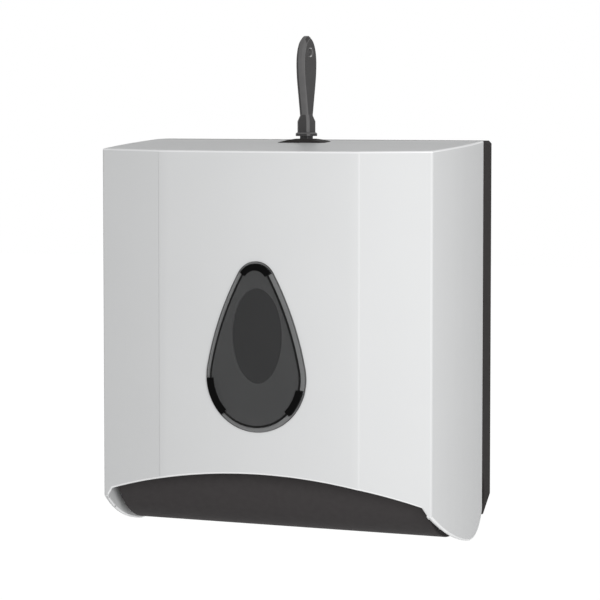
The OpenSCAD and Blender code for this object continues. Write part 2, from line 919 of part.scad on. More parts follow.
module cam_washer() {
    color(steel)
        translate([0, lock_y, cam_top_z])
            linear_extrude(washer_t)
                difference() {
                    circle(cam_hub_r);
                    centred_square(drive_w + 2 * seat_fit);
                }
}

module lock_cam() {
    color(steel)
        translate([0, lock_y, 0])
            difference() {
                union() {
                    translate([0, 0, cam_low_z])
                        cylinder(h = cam_t, r = cam_hub_r);
                    translate([0, -cam_w / 2, cam_low_z])
                        cube([cam_reach - hook_t / 2, cam_w, cam_t]);
                    intersection() {
                        translate([0, 0, hook_low_z])
                            difference() {
                                cylinder(h = cam_top_z - hook_low_z, r = cam_reach);
                                translate([0, 0, -over])
                                    cylinder(h = far, r = cam_reach - hook_t);
                            }
                        translate([0, -cam_w / 2, hook_low_z - over])
                            cube([far, cam_w, far]);
                    }
                }
                translate([0, 0, cam_low_z - over])
                    linear_extrude(far)
                        centred_square(drive_w + 2 * seat_fit);
            }
}

module cam_screw() {
    color(steel)
        translate([0, lock_y, cam_low_z]) {
            translate([0, 0, -head_h])
                cylinder(h = head_h, r = drive_w / sqrt(2) + seat_fit);
            cylinder(h = cam_screw_len, r = screw_r);
        }
}

// Square bar with bevelled edges
module bevelled_bar(w, cut, h) {
    side = w / 2;
    linear_extrude(h)
        polygon([
            [side - cut, -side], [side, cut - side], [side, side - cut], [side - cut, side],
            [cut - side, side], [-side, side - cut], [-side, cut - side], [cut - side, -side]
        ]);
}

// Grip seen from its broad side, drawn in by inset and with its tip lowered by drop
module grip_outline(inset, drop) {
    polygon(mirrored(concat(
        [[0, -grip_root], [grip_foot_w / 2 - inset, -grip_root]],
        [
            for (i = [0:2 * grip_steps])
                let (p = grip_point(i, grip_h - drop))
                [max(p[0] - inset, grip_least), p[1]]
        ],
        [[0, grip_h - drop]]
    )));
}

module grip_slab(thickness, inset, drop) {
    rotate([90, 0, 90])
        linear_extrude(thickness, center = true)
            grip_outline(inset, drop);
}

module key() {
    color(key_grey)
        translate([0, lock_y, 0])
            rotate(key_turn)
                difference() {
                    union() {
                        translate([0, 0, key_low_z])
                            linear_extrude(flange_z - key_low_z)
                                centred_square(key_w);
                        translate([0, 0, flange_z])
                            hull() {
                                bevelled_bar(flange_w, collar_cut, flange_t - flange_cut);
                                bevelled_bar(flange_w - 2 * flange_cut, collar_cut, flange_t);
                            }
                        translate([0, 0, collar_z])
                            hull() {
                                bevelled_bar(collar_w, collar_cut, collar_h);
                                bevelled_bar(collar_w - 2 * collar_cut, collar_cut, collar_h + shoulder_h);
                            }
                        translate([0, 0, grip_z])
                            hull() {
                                grip_slab(grip_t - 2 * grip_edge, 0, 0);
                                grip_slab(grip_t, grip_cut, grip_taper);
                            }
                    }
                    translate([0, 0, tip_z - ring_hole_down])
                        rotate([0, 90, 0])
                            cylinder(h = grip_t + 2 * over, r = ring_hole_r, center = true);
                }
}

back_plate();
outlet_tray();
tray_screws();
hinge_pin_left();
hinge_pin_right();
paper_guide_left();
paper_guide_right();
guide_screws();
latch_keeper();
keeper_screws();
front_cover();
level_window();
lock_housing();
nut_washer();
lock_nut();
lock_plug();
cam_washer();
lock_cam();
cam_screw();
key();
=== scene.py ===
"""Looks of a wall dispenser for interfolded paper, made around its fixed frame."""

import json
import math
from collections import namedtuple

import bmesh
import bpy
from bpy.props import FloatProperty, FloatVectorProperty, PointerProperty
from mathutils import Matrix, Vector
from mathutils.bvhtree import BVHTree
from mathutils.kdtree import KDTree


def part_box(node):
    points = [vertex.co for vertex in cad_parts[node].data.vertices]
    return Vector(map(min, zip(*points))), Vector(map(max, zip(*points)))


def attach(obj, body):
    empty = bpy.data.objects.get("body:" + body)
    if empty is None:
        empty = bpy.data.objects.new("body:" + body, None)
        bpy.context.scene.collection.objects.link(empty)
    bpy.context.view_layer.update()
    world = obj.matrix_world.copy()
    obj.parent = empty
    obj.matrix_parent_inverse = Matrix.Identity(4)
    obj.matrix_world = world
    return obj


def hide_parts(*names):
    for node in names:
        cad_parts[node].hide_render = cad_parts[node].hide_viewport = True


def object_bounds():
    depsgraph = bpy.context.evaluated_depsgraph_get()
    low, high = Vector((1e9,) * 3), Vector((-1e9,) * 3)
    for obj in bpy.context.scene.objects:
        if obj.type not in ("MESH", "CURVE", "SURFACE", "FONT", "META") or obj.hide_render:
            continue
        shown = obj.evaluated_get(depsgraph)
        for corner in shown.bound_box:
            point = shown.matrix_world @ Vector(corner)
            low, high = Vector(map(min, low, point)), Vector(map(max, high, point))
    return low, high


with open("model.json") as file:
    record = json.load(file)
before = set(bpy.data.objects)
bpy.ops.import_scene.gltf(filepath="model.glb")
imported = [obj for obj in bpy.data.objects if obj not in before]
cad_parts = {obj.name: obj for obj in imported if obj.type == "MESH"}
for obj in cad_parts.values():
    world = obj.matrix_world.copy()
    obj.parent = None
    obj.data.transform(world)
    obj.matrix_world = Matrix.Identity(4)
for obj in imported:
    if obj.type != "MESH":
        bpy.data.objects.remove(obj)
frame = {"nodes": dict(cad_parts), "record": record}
frame_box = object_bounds()

bl_info = {
    "name": "Interfold Paper Dispenser",
    "version": (1, 0, 0),
    "blender": (4, 5, 0),
    "location": "View3D > Sidebar > Dispenser",
    "description": "Makes the finished surfaces of a wall dispenser for interfolded paper",
    "category": "Object",
}

MM = 0.001

# Distances at which points are joined: in most pieces, in the cover and after the rounding
WELD = 0.05 * MM
COVER_WELD = 0.35 * MM
JOIN = 0.005 * MM

# Angles from which faces are kept apart and edges are shaded sharp, rounded and rounded wide
FLAT = math.radians(0.2)
SHARP = math.radians(22)
CREASE = math.radians(30)
SQUARE = math.radians(55)

# Steps across a rounding, room that a wide one needs, and length from which an edge has that room
ROUND_STEPS = 3
ROOMY = 1 * MM
LONG = 100 * MM

# Angle from which an edge runs to the side, and the share of it that a rounding may take
IN_LINE = math.radians(40)
SHARED_ROOM = 0.4
OWN_ROOM = 0.75

# Step away from an edge before looking for faces in front of it
CLEAR = 0.5 * MM

# Folds: least area, least turn, most tries, reach in widths, and spread of the edge lengths
SPECK = 1e-5 * MM * MM
TURNED = -0.2
FOLD_TRIES = 20
FOLD_REACH = 1.5
FOLD_SPREAD = 1.5

# Rise of the normal under which a face of the cover is upright, and keeps its main colour rather than
# the painted highlight
UPRIGHT = 0.15

# Places of the materials on the cover, the key and the window
# On the cover, the second material is a lighter colour painted on the rounded edges as a highlight
SHELL_MAIN, SHELL_HIGHLIGHT = range(2)
# On the key, the edges get a lighter colour painted as a highlight, and the ring hole's rim a
# near-white one painted as glints
KEY_SIDE, KEY_HIGHLIGHT, KEY_GLINT = range(3)
LENS_FACE, LENS_RIM, LENS_GROOVE_SHADE, LENS_TAB, LENS_REAR, LENS_EDGE = range(6)

# Parts of a normal along the key's own axes that tell its dark flat sides from its edges, which are
# painted lighter as a highlight; the lean keeps the bevels that lean one way dark as painted shade
GRIP_SIDE = 0.6
GRIP_LEAN = 0.1
COLLAR_SIDE = 0.9

# Ring hole, in shares of its radius: end of the rim, start and end of the painted glints, and their
# least rise
RIM_END = 1.1
GLINT_START = 1.02
GLINT_END = 1.4
GLINT_SLOPE = 0.6

# Snap tabs: middle and half width in degrees around the window, and whether they reach its edge
TABS = ((90, 58, False), (-29, 16, False), (204, 22, True))

# Points on each stretch of the window's outline, and how far they keep from the ends of the tabs
OUTLINE_STEPS = (36, 24, 28, 24, 36)
TAB_CLEAR = math.radians(0.2)

# Degrees from the start of a face that lie inside it, and depth behind the seat where the tabs start
INTO_FACE = 0.1
TAB_FOOT = 0.05 * MM

# Screws: sides, outline of the head, and depth and size of the recess, in shares of the head
SIDES = 32
HEAD_OUTLINE = ((0.74, 0), (0.93, 0.12), (1, 0.45), (1, 1))
RECESS = ((0, 1), (0.6, 0.7))

# Detail of the noise, and its levels at which a colour reaches its two ends
NOISE_DETAIL = 3
NOISE_LOW = 0.3
NOISE_HIGH = 0.7

# Finishes: size and spread of the colour's patches and the gloss's clouds, and the grain's relief
Finish = namedtuple("Finish", "patch tint_spread cloud rough_spread grain relief strength")
SATIN = Finish(60 * MM, 0.008, 9 * MM, 0.05, 1.6 * MM, 0.02 * MM, 0.25)
GRAINED = Finish(5 * MM, 0.04, 4 * MM, 0.06, 0.7 * MM, 0.04 * MM, 0.35)
POLISHED = Finish(30 * MM, 0.05, 12 * MM, 0.03, 0, 0, 0)
TOUGH = Finish(8 * MM, 0.06, 3 * MM, 0.06, 0.5 * MM, 0.02 * MM, 0.3)
PLATED = Finish(5 * MM, 0.08, 1.5 * MM, 0.08, 0.4 * MM, 0.01 * MM, 0.4)


# Settings


def length(name, description, default):
    """A setting that is a length in metres."""
    return FloatProperty(
        name=name, description=description, default=default, min=0, unit="LENGTH", precision=5
    )


def share(name, description, default):
    """A setting between nought and one."""
    return FloatProperty(
        name=name, description=description, default=default, min=0, max=1, subtype="FACTOR"
    )


def turning(name, description, default):
    """A setting that is an angle, given in degrees."""
    return FloatProperty(
        name=name, description=description, default=math.radians(default), subtype="ANGLE"
    )


def colour(name, description, default):
    """A setting that is a colour."""
    return FloatVectorProperty(
        name=name, description=description, default=default, size=3, min=0, max=1, subtype="COLOR"
    )


def point(name, description, default):
    """A setting that is a point in metres."""
    return FloatVectorProperty(
        name=name, description=description, default=default, subtype="TRANSLATION", unit="LENGTH"
    )


class ShellSettings(bpy.types.PropertyGroup):
    """White moulded cover."""

    tint: colour("Colour", "Colour of the white plastic", (0.745, 0.752, 0.755))
    # Lighter colour painted on the rounded edges that face up or down, as a highlight
    edge_highlight_tint: colour("Edge colour", "Colour of the smooth rounded edges", (0.97, 0.975, 0.98))
    roughness: share("Roughness", "Roughness of the satin surface", 0.48)
    edge_roughness: share("Edge roughness", "Roughness of the smooth rounded edges", 0.24)
    gloss: share("Gloss", "Strength of the satin surface's reflections", 0.2)
    edge_gloss: share("Edge gloss", "Strength of the edges' reflections", 0.8)
    wide_round: length("Wide rounding", "Rounding of the edges that face away", 1.2 * MM)
    fine_round: length("Fine rounding", "Rounding of the other edges", 0.3 * MM)


class DarkSettings(bpy.types.PropertyGroup):
    """Charcoal mouldings of the base and the lock."""

    tint: colour("Colour", "Colour of the charcoal plastic", (0.042, 0.0385, 0.038))
    # The tray's charcoal is painted lighter than the plate's, to make up for the shade it lies in
    # under the cover's arch
    tray_tint_painted_lighter: colour("Tray colour", "Colour of the paper tray", (0.06, 0.0555, 0.056))
    roughness: share("Roughness", "Roughness of the grained surface", 0.6)
    gloss: share("Gloss", "Strength of the grained surface's reflections", 0.04)
    edge_round: length("Rounding", "Rounding of the edges", 0.6 * MM)
    fine_round: length("Fine rounding", "Rounding of the edges of small mouldings", 0.3 * MM)


class WindowSettings(bpy.types.PropertyGroup):
    """Smoked window."""

    tint: colour("Colour", "Colour of the smoked plastic", (0.03, 0.0305, 0.031))
    tab_tint: colour("Tab colour", "Colour of the tabs behind the rim", (0.004, 0.004, 0.004))
    roughness: share("Roughness", "Roughness of the polished surface", 0.2)
    face_cover: share("Face density", "How much light the flat face stops", 0.8)
    # The sloping rim stops less light than the face, partly for its thinner plastic and partly as
    # painted light for the light that the bevel catches
    rim_cover: share("Rim density", "How much light the sloping rim stops", 0.45)
    edge_cover: share("Edge density", "How much light the upright edge stops", 0.7)
    line_cover: share("Line density", "How much light the dark line stops", 0.95)
    rear_cover: share("Rear density", "How much light the rear face stops", 0.04)
    face_gloss: share("Face gloss", "Strength of the flat face's reflections", 0.3)
    rim_gloss: share("Rim gloss", "Strength of the sloping rim's reflections", 0.4)
    edge_gloss: share("Edge gloss", "Strength of the upright edge's reflections", 0.3)
    line_gloss: share("Line gloss", "Strength of the dark line's reflections", 0.05)
    tab_gloss: share("Tab gloss", "Strength of the tabs' reflections", 0.02)
    top_radius: length("Top radius", "Radius of the narrow upper end", 15.5 * MM)
    side_radius: length("Side radius", "Radius of the bowed sides", 220 * MM)
    depth: length("Depth", "Distance of the face from the seat", 2.8 * MM)
    edge: length("Edge", "Height of the upright edge above the seat", 2 * MM)
    edge_round: length("Rounding", "Rounding above the upright edge", 0.25 * MM)
    rim: length("Rim", "Width of the sloping rim", 4.8 * MM)
    # The dark line along the inside of the rim is nearly black: painted shade of a groove that is not
    # modelled
    line: length("Line", "Width of the dark line along the inside of the rim", 1.6 * MM)
    tab_start: length("Tab start", "Clear rim outside the tabs that end before it", 1.4 * MM)
    tab_lap: length("Tab lap", "How far the tabs show past the rim", 1.5 * MM)
    seat_gap: length("Seat gap", "Gap between the window and its seat", 0.05 * MM)


class KeySettings(bpy.types.PropertyGroup):
    """Plastic key."""

    # The flat sides keep the key's dark colour, and so do the bevels that lean one way, as painted
    # shade; the edges get the lighter colour as a painted highlight
    tint: colour("Colour", "Colour of the flat sides", (0.059, 0.057, 0.0575))
    edge_highlight_tint: colour("Edge colour", "Colour of the smooth edges", (0.146, 0.143, 0.144))
    # Near-white colour painted as glints on the top and bottom of the ring hole's rim
    glint_tint: colour("Worn colour", "Colour of the rim where a ring rubs", (0.8, 0.8, 0.8))
    roughness: share("Roughness", "Roughness of the key", 0.42)
    gloss: share("Gloss", "Strength of the key's reflections", 0.2)
    edge_round: length("Rounding", "Rounding of the key's edges", 0.3 * MM)
    rim_round: length("Rim rounding", "Rounding of the ring hole's rim", 0.9 * MM)
    turn: turning("Turn", "Turn of the key about the lock's axis", -9)
    collar_share: share("Collar share", "Share of the height at which the grip starts", 0.345)


class SteelSettings(bpy.types.PropertyGroup):
    """Zinc plated hardware."""

    tint: colour("Colour", "Colour of the plating", (0.58, 0.59, 0.61))
    roughness: share("Roughness", "Roughness of the plating", 0.34)
    edge_round: length("Rounding", "Rounding of the hardware's edges", 0.2 * MM)
    head_height: length("Head height", "Height of the screws' heads", 2.2 * MM)
    shank_radius: length("Shank radius", "Radius of the screws' shanks", 1.75 * MM)
    recess_reach: share("Recess reach", "Reach of the cross recess, as a share of the head", 0.56)
    recess_width: share("Recess width", "Half width of the recess, as a share of the head", 0.15)


class StageSettings(bpy.types.PropertyGroup):
    """Floor, light and camera."""

    camera_yaw: turning("Camera yaw", "How far the camera stands to the right", 25.02)
    camera_pitch: turning("Camera pitch", "How far the camera looks down", 3.99)
    camera_distance: length("Camera distance", "Distance of the camera from its target", 2.0564)
    camera_target: point("Camera target", "What the camera looks at", (5.07 * MM, -55 * MM, 25.1 * MM))
    camera_lens: FloatProperty(
        name="Lens", description="Focal length of the camera", default=169.6, unit="CAMERA"
    )
    floor_drop: length("Floor drop", "How far the floor lies below the object", 0.3)
    floor_size: length("Floor size", "Length of the floor's sides", 16)
    floor_tint: colour("Floor colour", "Colour of the floor", (0.9, 0.9, 0.9))
    floor_glow: FloatProperty(
        name="Floor glow", description="Level at which the floor is seen", default=1.09, min=0
    )
    floor_share: share("Floor share", "Share of the glow in how the floor is seen", 0.9)
    ambient: share("Ambient", "Level of the light from all round", 0.4)
    light_place: point("Light place", "Where the key light stands", (0.55, -0.8, 0.14))
    light_target: point("Light target", "What the key light points at", (0, -0.06, 0))
    light_size: length("Light size", "Length of the key light's sides", 0.5)
    light_power: FloatProperty(
        name="Light power", description="Power of the key light", default=5, min=0, unit="POWER"
    )


class DispenserSettings(bpy.types.PropertyGroup):
    """All the settings of the dispenser."""

    shell: PointerProperty(type=ShellSettings)
    dark: PointerProperty(type=DarkSettings)
    window: PointerProperty(type=WindowSettings)
    key: PointerProperty(type=KeySettings)
    steel: PointerProperty(type=SteelSettings)
    stage: PointerProperty(type=StageSettings)


# Materials


def new_material(name):
    """A material with its nodes and its shader."""
    made = bpy.data.materials.new(name)
    made.use_nodes = True
    return made, made.node_tree, made.node_tree.nodes["Principled BSDF"]


def noise(tree, size):
    """Noise in the object's own frame, whose lumps have that size in metres."""
    place = tree.nodes.new("ShaderNodeTexCoord")
    texture = tree.nodes.new("ShaderNodeTexNoise")
    texture.inputs["Scale"].default_value = 1 / size
    texture.inputs["Detail"].default_value = NOISE_DETAIL
    tree.links.new(place.outputs["Object"], texture.inputs["Vector"])
    return texture.outputs["Fac"]


def vary_colour(tree, shader, level, tint, spread):
    """Base colour that strays a little to both sides of its tint."""
    ramp = tree.nodes.new("ShaderNodeValToRGB")
    ends = ramp.color_ramp.elements
    for end, position, change in zip(ends, (NOISE_LOW, NOISE_HIGH), (-spread, spread)):
        end.position = position
        end.color = (*[part * (1 + change) for part in tint], 1)
    tree.links.new(level, ramp.inputs["Fac"])
    tree.links.new(ramp.outputs["Color"], shader.inputs["Base Color"])


def vary_roughness(tree, shader, level, middle, spread):
    """Roughness that strays a little to both sides of its middle."""
    band_map = tree.nodes.new("ShaderNodeMapRange")
    band_map.inputs["To Min"].default_value = middle - spread
    band_map.inputs["To Max"].default_value = middle + spread
    tree.links.new(level, band_map.inputs["Value"])
    tree.links.new(band_map.outputs["Result"], shader.inputs["Roughness"])


def add_grain(tree, shader, level, depth, strength):
    """Surface relief of that depth in metres."""
    bump = tree.nodes.new("ShaderNodeBump")
    bump.inputs["Distance"].default_value = depth
    bump.inputs["Strength"].default_value = strength
    tree.links.new(level, bump.inputs["Height"])
    tree.links.new(bump.outputs["Normal"], shader.inputs["Normal"])


def finished(name, finish, tint, roughness):
    """A material with a finish, and its shader."""
    made, tree, shader = new_material(name)
    vary_colour(tree, shader, noise(tree, finish.patch), tint, finish.tint_spread)
    vary_roughness(tree, shader, noise(tree, finish.cloud), roughness, finish.rough_spread)
    if finish.grain:
        add_grain(tree, shader, noise(tree, finish.grain), finish.relief, finish.strength)
    return made, shader


def plastic(name, finish, tint, roughness, gloss):
    """Moulded plastic that stops all the light."""
    made, shader = finished(name, finish, tint, roughness)
    shader.inputs["Specular IOR Level"].default_value = gloss
    return made


def smoked_plastic(name, tint, roughness, cover, gloss):
    """Polished smoked plastic that stops a share of the light."""
    made, shader = finished(name, POLISHED, tint, roughness)
    shader.inputs["Alpha"].default_value = cover
    shader.inputs["Specular IOR Level"].default_value = gloss
    return made


def zinc_plating(look):
    """Bright zinc plating, a little cloudy."""
    made, shader = finished("zinc_plating", PLATED, look.tint, look.roughness)
    shader.inputs["Metallic"].default_value = 1
    return made


# Meshes


def welded(node, reach=WELD):
    """Mesh of a frame node, joined across its faces and with its flat faces made whole."""
    bm = bmesh.new()
    bm.from_mesh(frame["nodes"][node].data)
    bmesh.ops.remove_doubles(bm, verts=bm.verts, dist=reach)
    bmesh.ops.dissolve_limit(bm, angle_limit=FLAT, verts=bm.verts, edges=bm.edges)
    return bm


def islands(bm):
    """Groups of the vertices that hang together."""
    left = set(bm.verts)
    groups = []
    while left:
        group = {left.pop()}
        front = list(group)
        while front:
            vert = front.pop()
            near = {edge.other_vert(vert) for edge in vert.link_edges} - group
            group |= near
            front.extend(near)
        left -= group
        groups.append(group)
    return groups


def faces_away(tree, edge):
    """Whether nothing of the piece lies in front of an edge."""
    middle = (edge.verts[0].co + edge.verts[1].co) / 2
    away = (edge.link_faces[0].normal + edge.link_faces[1].normal).normalized()
    return tree.ray_cast(middle + away * CLEAR, away)[0] is None


def is_outer(edge):
    """Whether an edge is a sharp one that stands out."""
    return len(edge.link_faces) == 2 and edge.is_convex and edge.calc_face_angle(0) > CREASE


def room_beside(edge):
    """Widest rounding of an edge that leaves room along the edges that run from its ends."""
    along = edge.verts[1].co - edge.verts[0].co
    room = math.inf
    for vert in edge.verts:
        for other in vert.link_edges:
            if other is edge:
                continue
            far_vert = other.other_vert(vert)
            angle = along.angle(far_vert.co - vert.co, 0)
            if min(angle, math.pi - angle) > IN_LINE:
                others = [third for third in far_vert.link_edges if third is not other]
                part = SHARED_ROOM if any(map(is_outer, others)) else OWN_ROOM
                room = min(room, other.calc_length() * part)
    return room


def weigh_edges(bm, wide, fine):
    """Marks how far each sharp edge is rounded, as a share of the wide rounding."""
    weight = bm.edges.layers.float.new("bevel_weight_edge")
    tree = BVHTree.FromBMesh(bm)
    for edge in bm.edges:
        if is_outer(edge):
            room = LONG if edge.calc_length() > LONG else room_beside(edge)
            is_square = edge.calc_face_angle() > SQUARE
            is_wide = room > ROOMY and is_square and faces_away(tree, edge)
            edge[weight] = min(wide if is_wide else fine, room) / wide


def body_of_node(node):
    """Name of the body that a node belongs to."""
    bodies = frame["record"]["behaviour"]["bodies"]
    return next(body for body, nodes in bodies.items() if node in nodes)


def put(bm, name, node, materials):
    """Turns a mesh into a piece that stands for a node and moves with its body."""
    mesh = bpy.data.meshes.new(name)
    bm.to_mesh(mesh)
    bm.free()
    for material in materials:
        mesh.materials.append(material)
    mesh.polygons.foreach_set("use_smooth", [True] * len(mesh.polygons))
    mesh.set_sharp_from_angle(angle=SHARP)
    piece = bpy.data.objects.new(name, mesh)
    bpy.context.scene.collection.objects.link(piece)
    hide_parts(node)
    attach(piece, body_of_node(node))
    return piece


def round_edges(piece, width, edge_slot=-1):
    """Rounds a piece's marked edges, whose faces may get a material of their own."""
    bevel = piece.modifiers.new("rounding", "BEVEL")
    bevel.limit_method = "WEIGHT"
    bevel.width = width
    bevel.segments = ROUND_STEPS
    bevel.use_clamp_overlap = False
    bevel.material = edge_slot


def folded_corners(piece, form):
    """Corners of the faces that a piece's rounding turns against its unrounded form."""
    made = piece.evaluated_get(bpy.context.evaluated_depsgraph_get())
    mesh = made.to_mesh()
    mesh.calc_loop_triangles()
    folded = set()
    for triangle in mesh.loop_triangles:
        normal = form.find_nearest(triangle.center)[1]
        if triangle.area > SPECK and triangle.normal.dot(normal) < TURNED:
            folded.update(triangle.vertices)
    corners = [mesh.vertices[index].co.copy() for index in folded]
    made.to_mesh_clear()
    return corners


def spare_folds(piece, width):
    """Leaves the edges sharp whose rounding would fold the faces beside them, the shortest first."""
    mesh = piece.data
    weights = mesh.attributes["bevel_weight_edge"].data
    points = [vert.co for vert in mesh.vertices]
    form = BVHTree.FromPolygons(points, [face.vertices for face in mesh.polygons])
    for _ in range(FOLD_TRIES):
        corners = folded_corners(piece, form)
        if not corners:
            return
        tree = KDTree(len(corners))
        for index, corner in enumerate(corners):
            tree.insert(corner, index)
        tree.balance()
        sizes = {}
        for edge in mesh.edges:
            ends = [points[index] for index in edge.vertices]
            is_near = any(tree.find(end)[2] < FOLD_REACH * width for end in ends)
            if weights[edge.index].value > 0 and is_near:
                sizes[edge.index] = (ends[0] - ends[1]).length
        limit = FOLD_SPREAD * min(sizes.values(), default=0)
        for index, size in sizes.items():
            if size < limit:
                weights[index].value = 0
        mesh.update()


def final_faces(piece):
    """Makes a piece's rounding final and gives the faces that it then has."""
    made = piece.evaluated_get(bpy.context.evaluated_depsgraph_get())
    mesh = bpy.data.meshes.new_from_object(made)
    mesh.name = piece.name
    piece.modifiers.clear()
    piece.data = mesh
    return mesh.polygons


def even_shading(piece):
    """Joins the points that a rounding leaves in one place and shades a piece by its large faces."""
    joined = piece.modifiers.new("joining", "WELD")
    joined.merge_threshold = JOIN
    weighted = piece.modifiers.new("even_shading", "WEIGHTED_NORMAL")
    weighted.keep_sharp = True


def rounded(node, name, materials, wide, fine, edge_slot=-1, reach=WELD):
    """Piece with a node's own form and rounded edges."""
    bm = welded(node, reach)
    weigh_edges(bm, wide, fine)
    piece = put(bm, name, node, materials)
    round_edges(piece, wide, edge_slot)
    spare_folds(piece, wide)
    return piece


def dress(node, name, materials, wide, fine):
    """Makes a piece of one finish with a node's own form and rounded edges."""
    even_shading(rounded(node, name, materials, wide, fine))


def ring(bm, points):
    """Vertices at the points of a closed line."""
    return [bm.verts.new(place) for place in points]


def band(bm, lower, upper):
    """Faces between two closed lines of as many points."""
    count = len(lower)
    return [
        bm.faces.new((lower[i], lower[(i + 1) % count], upper[(i + 1) % count], upper[i]))
        for i in range(count)
    ]


# Cover and base


class DISPENSER_OT_cover(bpy.types.Operator):
    """Make the white cover"""

    bl_idname = "dispenser.cover"
    bl_label = "Cover"

    def execute(self, context):
        look = context.scene.dispenser.shell
        materials = [
            plastic("shell_plastic", SATIN, look.tint, look.roughness, look.gloss),
            plastic("shell_edge_highlight", SATIN, look.edge_highlight_tint, look.edge_roughness, look.edge_gloss),
        ]
        piece = rounded(
            "front_cover", "cover_shell", materials,
            look.wide_round, look.fine_round, SHELL_HIGHLIGHT, COVER_WELD,
        )
        # Rounded edges that face up or down keep the lighter colour as a painted highlight; upright
        # faces take the main colour
        for face in final_faces(piece):
            if abs(face.normal.z) < UPRIGHT:
                face.material_index = SHELL_MAIN
        even_shading(piece)
        return {"FINISHED"}


class DISPENSER_OT_base(bpy.types.Operator):
    """Make the charcoal back plate, tray and paper guides"""

    bl_idname = "dispenser.base"
    bl_label = "Base"

    def execute(self, context):
        look = context.scene.dispenser.dark
        main = [plastic("charcoal_plastic", GRAINED, look.tint, look.roughness, look.gloss)]
        # The tray's charcoal is painted lighter than the plate's, to make up for the shade it lies in
        # under the cover's arch
        tray = [plastic("tray_plastic_painted_lighter", GRAINED, look.tray_tint_painted_lighter, look.roughness, look.gloss)]
        pieces = (
            ("back_plate", "wall_plate", main),
            ("outlet_tray", "paper_tray", tray),
            ("paper_guide_left", "stack_guide_left", main),
            ("paper_guide_right", "stack_guide_right", main),
        )
        for node, name, materials in pieces:
            dress(node, name, materials, look.edge_round, look.fine_round)
        return {"FINISHED"}


# Lock and key


class DISPENSER_OT_lock(bpy.types.Operator):
    """Make the lock's bezel and plug"""

    bl_idname = "dispenser.lock"
    bl_label = "Lock"

    def execute(self, context):
        fine = context.scene.dispenser.dark.fine_round
        materials = [bpy.data.materials["charcoal_plastic"]]
        dress("lock_housing", "lock_bezel", materials, fine, fine)
        dress("lock_plug", "lock_core", materials, fine, fine)
        return {"FINISHED"}


def is_key_highlight(face, look, grip_z):
    """Whether a face of the key is painted lighter as a highlight, rather than kept dark as a flat
    side or a shaded bevel.
    """
    turned = Matrix.Rotation(-look.turn, 3, "Z") @ face.normal
    if face.calc_center_median().z > grip_z:
        return abs(turned.x) < GRIP_SIDE and turned.x * turned.y < GRIP_LEAN
    return max(abs(turned.x), abs(turned.y)) < COLLAR_SIDE


def from_ring_hole(place):
    """How far a point lies from the axis of the key's ring hole, in shares of the hole's radius."""
    mounts = frame["record"]["mounts"]
    hole = next(mount for mount in mounts if mount["name"] == "key_ring_hole")
    axis = Vector(hole["axis"])
    away = place - Vector(hole["pos_m"])
    return (away - axis * away.dot(axis)).length / (hole["dims"]["r_mm"] * MM)


def is_painted_glint(face):
    """Whether a face of the key gets a painted glint, on the ring hole's rim where it faces up or
    down.
    """
    is_rim = GLINT_START < from_ring_hole(face.center) < GLINT_END
    return is_rim and abs(face.normal.z) > GLINT_SLOPE


class DISPENSER_OT_key(bpy.types.Operator):
    """Make the key"""

    bl_idname = "dispenser.key"
    bl_label = "Key"

    def execute(self, context):
        look = context.scene.dispenser.key
        low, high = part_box("key")
        grip_z = low.z + look.collar_share * (high.z - low.z)
        bm = welded("key")
        weigh_edges(bm, look.edge_round, look.edge_round)
        weight = bm.edges.layers.float["bevel_weight_edge"]
        for edge in bm.edges:
            if max(from_ring_hole(vert.co) for vert in edge.verts) > RIM_END:
                edge[weight] *= look.edge_round / look.rim_round
        for face in bm.faces:
            face.material_index = KEY_HIGHLIGHT if is_key_highlight(face, look, grip_z) else KEY_SIDE
        materials = [
            plastic("key_side", TOUGH, look.tint, look.roughness, look.gloss),
            plastic("key_edge_highlight", TOUGH, look.edge_highlight_tint, look.roughness, look.gloss),
            plastic("key_glint", TOUGH, look.glint_tint, look.roughness, look.gloss),
        ]
        piece = put(bm, "lock_key", "key", materials)
        round_edges(piece, look.rim_round, KEY_HIGHLIGHT)
        # The top and bottom of the ring hole's rim get the near-white colour as painted glints
        for face in final_faces(piece):
            if is_painted_glint(face):
                face.material_index = KEY_GLINT
        even_shading(piece)
        return {"FINISHED"}


# Window


class Teardrop:
    """Outline of the window: a round lower end, bowed sides and a narrow round top."""

    def __init__(self, look):
        low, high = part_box("level_window")
        self.radius = (high.x - low.x) / 2
        self.top_radius = look.top_radius
        self.side_radius = look.side_radius
        self.span = high.z - low.z - self.radius - self.top_radius
        self.centre = Vector(((low.x + high.x) / 2, low.y + look.depth, low.z + self.radius))
        lower = self.side_radius - self.radius
        upper = self.side_radius - self.top_radius
        bow_z = (self.span ** 2 + lower ** 2 - upper ** 2) / (2 * self.span)
        self.bow = (-math.sqrt(lower ** 2 - bow_z ** 2), bow_z)
        self.low_turn = math.atan2(-bow_z, -self.bow[0])
        self.high_turn = math.atan2(self.span - bow_z, -self.bow[0])

    def angles(self):
        """Directions that the outline faces, one for each of its points."""
        turns = [-math.pi / 2, self.low_turn, self.high_turn]
        turns += [math.pi - turn for turn in reversed(turns)]
        limits = []
        for middle, reach, _ in TABS:
            limits += [math.radians(middle - reach), math.radians(middle + reach)]
        found = list(limits)
        for start, end, count in zip(turns, turns[1:], OUTLINE_STEPS):
            for i in range(count):
                turn = start + (end - start) * i / count
                if min(abs(turn - limit) for limit in limits) > TAB_CLEAR:
                    found.append(turn)
        return sorted(found)

    def place(self, angle, inset, height):
        """Point where the outline faces an angle, drawn in by inset and raised above the seat."""
        is_right = angle <= math.pi / 2
        turn = angle if is_right else math.pi - angle
        x, z, radius = 0, self.span, self.top_radius
        if turn <= self.low_turn:
            x, z, radius = 0, 0, self.radius
        elif turn <= self.high_turn:
            x, z, radius = *self.bow, self.side_radius
        x += (radius - inset) * math.cos(turn)
        z += (radius - inset) * math.sin(turn)
        return self.centre + Vector((x if is_right else -x, -height, z))


